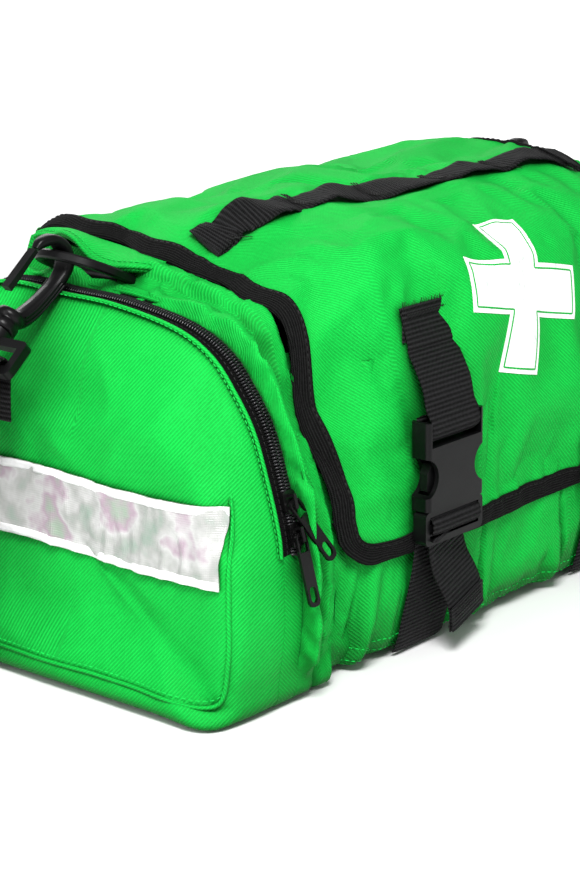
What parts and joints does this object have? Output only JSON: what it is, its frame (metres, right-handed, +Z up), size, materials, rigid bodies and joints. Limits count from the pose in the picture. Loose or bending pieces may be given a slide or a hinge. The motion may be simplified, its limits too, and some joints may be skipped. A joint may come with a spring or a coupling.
{
  "type": "trauma shoulder bag",
  "caption": "Padded first-responder bag with a buckled wrap-over flap, a carry handle, zipped end pockets with reflective strips, and a clip-on shoulder strap.",
  "frame": {"origin": "middle of the flat base of the bag's body, on the surface it stands on", "axes": "+X along the bag's length to the right seen from the front, +Y to the back, +Z up"},
  "size_m": [0.554, 0.2972, 0.2114],
  "materials": {
    "green_nylon": "woven nylon, slight sheen",
    "black_binding": "twill tape",
    "black_webbing": "ribbed webbing",
    "black_zip": "woven tape with coil",
    "black_acetal": "satin",
    "black_enamel": "semi gloss",
    "reflective_tape": "retroreflective",
    "white_print": "printed",
    "board": "matt",
    "grey_lining": "lining"
  },
  "bodies": {
    "root": {"trunk_shell": "green_nylon", "base_board": "board", "divider_left": "grey_lining", "divider_right": "grey_lining", "front_slip_pocket": "green_nylon", "pocket_shell_left": "green_nylon", "pocket_shell_right": "green_nylon", "zip_tape_inner_left": "black_zip", "zip_tape_inner_right": "black_zip", "zip_tape_outer_left": "black_zip", "zip_tape_outer_right": "black_zip", "reflective_strip_left": "reflective_tape", "reflective_strip_right": "reflective_tape", "ring_tab_left": "black_webbing", "ring_tab_right": "black_webbing", "buckle_strap_left": "black_webbing", "buckle_strap_right": "black_webbing", "shoulder_strap_left": "black_webbing", "shoulder_strap_right": "black_webbing", "strap_adjuster": "black_acetal"},
    "flap": {"main_flap": "green_nylon", "flap_binding": "black_binding", "flap_emblem": "white_print", "carry_handle": "black_webbing", "flap_strap_left": "black_webbing", "flap_strap_right": "black_webbing", "buckle_socket_left": "black_acetal", "buckle_socket_right": "black_acetal"},
    "plug_left": {"buckle_plug_left": "black_acetal"},
    "prong_outer_left": {"buckle_prong_outer_left": "black_acetal"},
    "prong_inner_left": {"buckle_prong_inner_left": "black_acetal"},
    "corner_left": {"pocket_corner_left": "green_nylon", "zip_tape_corner_left": "black_zip"},
    "slider_upper_left": {"zip_slider_upper_left": "black_enamel"},
    "pull_upper_left": {"zip_pull_upper_left": "black_enamel"},
    "slider_lower_left": {"zip_slider_lower_left": "black_enamel"},
    "pull_lower_left": {"zip_pull_lower_left": "black_enamel"},
    "ring_left": {"d_ring_left": "black_acetal"},
    "swivel_left": {"hook_swivel_left": "black_acetal"},
    "hook_left": {"snap_hook_left": "black_acetal"},
    "gate_left": {"hook_gate_left": "black_acetal"},
    "plug_right": {"buckle_plug_right": "black_acetal"},
    "prong_outer_right": {"buckle_prong_outer_right": "black_acetal"},
    "prong_inner_right": {"buckle_prong_inner_right": "black_acetal"},
    "corner_right": {"pocket_corner_right": "green_nylon", "zip_tape_corner_right": "black_zip"},
    "slider_upper_right": {"zip_slider_upper_right": "black_enamel"},
    "pull_upper_right": {"zip_pull_upper_right": "black_enamel"},
    "slider_lower_right": {"zip_slider_lower_right": "black_enamel"},
    "pull_lower_right": {"zip_pull_lower_right": "black_enamel"},
    "ring_right": {"d_ring_right": "black_acetal"},
    "swivel_right": {"hook_swivel_right": "black_acetal"},
    "hook_right": {"snap_hook_right": "black_acetal"},
    "gate_right": {"hook_gate_right": "black_acetal"}
  },
  "joints": [
    {"name": "flap_hinge", "type": "hinge", "parent": "root", "child": "flap", "pos_m": [0, 0.0925, 0.197], "axis": [-1, 0, 0], "range_deg": [0, 115]},
    {"name": "buckle_left_release", "type": "slide", "parent": "root", "child": "plug_left", "axis": [0, 0, -1], "range_m": [0, 0.024], "deforming": ["buckle_strap_left"]},
    {"name": "prong_outer_left", "type": "hinge", "parent": "plug_left", "child": "prong_outer_left", "pos_m": [-0.0922, -0.1183, 0.079], "axis": [0, 1, 0], "range_deg": [0, 8], "stiffness_Nm_per_rad": 0.002},
    {"name": "prong_inner_left", "type": "hinge", "parent": "plug_left", "child": "prong_inner_left", "pos_m": [-0.0638, -0.1183, 0.079], "axis": [0, -1, 0], "range_deg": [0, 8], "stiffness_Nm_per_rad": 0.002},
    {"name": "pocket_corner_left", "type": "hinge", "parent": "root", "child": "corner_left", "pos_m": [-0.2166, -0.0974, 0.106], "axis": [0, -0.7883, -0.6153], "range_deg": [0, 95]},
    {"name": "slider_upper_left", "type": "slide", "parent": "root", "child": "slider_upper_left", "axis": [0, 0.2567, 0.9665], "range_m": [0, 0.022]},
    {"name": "slider_lower_left", "type": "slide", "parent": "root", "child": "slider_lower_left", "axis": [0, -0.2567, -0.9665], "range_m": [0, 0.003]},
    {"name": "pull_upper_left", "type": "hinge", "parent": "slider_upper_left", "child": "pull_upper_left", "pos_m": [-0.1785, -0.10558, 0.10067], "axis": [-0.9063, -0.1085, -0.4085], "range_deg": [0, 110]},
    {"name": "pull_lower_left", "type": "hinge", "parent": "slider_lower_left", "child": "pull_lower_left", "pos_m": [-0.1785, -0.10956, 0.08567], "axis": [-1, 0, 0], "range_deg": [0, 28]},
    {"name": "ring_tilt_left", "type": "hinge", "parent": "root", "child": "ring_left", "pos_m": [-0.163, 0.033, 0.187], "axis": [0, -1, 0], "range_deg": [0, 8]},
    {"name": "hook_swing_left", "type": "hinge", "parent": "root", "child": "swivel_left", "pos_m": [-0.19041, 0.033, 0.20037], "axis": [0, 1, 0], "range_deg": [0, 35], "deforming": ["shoulder_strap_left"]},
    {"name": "hook_swivel_left", "type": "hinge", "parent": "swivel_left", "child": "hook_left", "pos_m": [-0.19463, 0.033, 0.19684], "axis": [0.766, 0, 0.6428], "range_deg": [-12, 12]},
    {"name": "gate_left", "type": "hinge", "parent": "hook_left", "child": "gate_left", "pos_m": [-0.22053, 0.033, 0.18881], "axis": [0, 1, 0], "range_deg": [0, 15], "stiffness_Nm_per_rad": 0.02},
    {"name": "buckle_right_release", "type": "slide", "parent": "root", "child": "plug_right", "axis": [0, 0, -1], "range_m": [0, 0.024], "deforming": ["buckle_strap_right"]},
    {"name": "prong_outer_right", "type": "hinge", "parent": "plug_right", "child": "prong_outer_right", "pos_m": [0.0922, -0.1183, 0.079], "axis": [0, -1, 0], "range_deg": [0, 8], "stiffness_Nm_per_rad": 0.002},
    {"name": "prong_inner_right", "type": "hinge", "parent": "plug_right", "child": "prong_inner_right", "pos_m": [0.0638, -0.1183, 0.079], "axis": [0, 1, 0], "range_deg": [0, 8], "stiffness_Nm_per_rad": 0.002},
    {"name": "pocket_corner_right", "type": "hinge", "parent": "root", "child": "corner_right", "pos_m": [0.2166, -0.0974, 0.106], "axis": [0, 0.7883, 0.6153], "range_deg": [0, 95]},
    {"name": "slider_upper_right", "type": "slide", "parent": "root", "child": "slider_upper_right", "axis": [0, 0.2567, 0.9665], "range_m": [0, 0.022]},
    {"name": "slider_lower_right", "type": "slide", "parent": "root", "child": "slider_lower_right", "axis": [0, -0.2567, -0.9665], "range_m": [0, 0.003]},
    {"name": "pull_upper_right", "type": "hinge", "parent": "slider_upper_right", "child": "pull_upper_right", "pos_m": [0.1785, -0.10558, 0.10067], "axis": [-0.9063, 0.1085, 0.4085], "range_deg": [0, 110]},
    {"name": "pull_lower_right", "type": "hinge", "parent": "slider_lower_right", "child": "pull_lower_right", "pos_m": [0.1785, -0.10956, 0.08567], "axis": [-1, 0, 0], "range_deg": [0, 28]},
    {"name": "ring_tilt_right", "type": "hinge", "parent": "root", "child": "ring_right", "pos_m": [0.163, 0.033, 0.187], "axis": [0, 1, 0], "range_deg": [0, 8]},
    {"name": "hook_swing_right", "type": "hinge", "parent": "root", "child": "swivel_right", "pos_m": [0.19041, 0.033, 0.20037], "axis": [0, -1, 0], "range_deg": [0, 35], "deforming": ["shoulder_strap_right"]},
    {"name": "hook_swivel_right", "type": "hinge", "parent": "swivel_right", "child": "hook_right", "pos_m": [0.19463, 0.033, 0.19684], "axis": [-0.766, 0, 0.6428], "range_deg": [-12, 12]},
    {"name": "gate_right", "type": "hinge", "parent": "hook_right", "child": "gate_right", "pos_m": [0.22053, 0.033, 0.18881], "axis": [0, -1, 0], "range_deg": [0, 15], "stiffness_Nm_per_rad": 0.02}
  ],
  "couplings": [
    {"joint": "prong_inner_left", "follows": "prong_outer_left", "ratio": 1},
    {"joint": "prong_inner_right", "follows": "prong_outer_right", "ratio": 1}
  ]
}
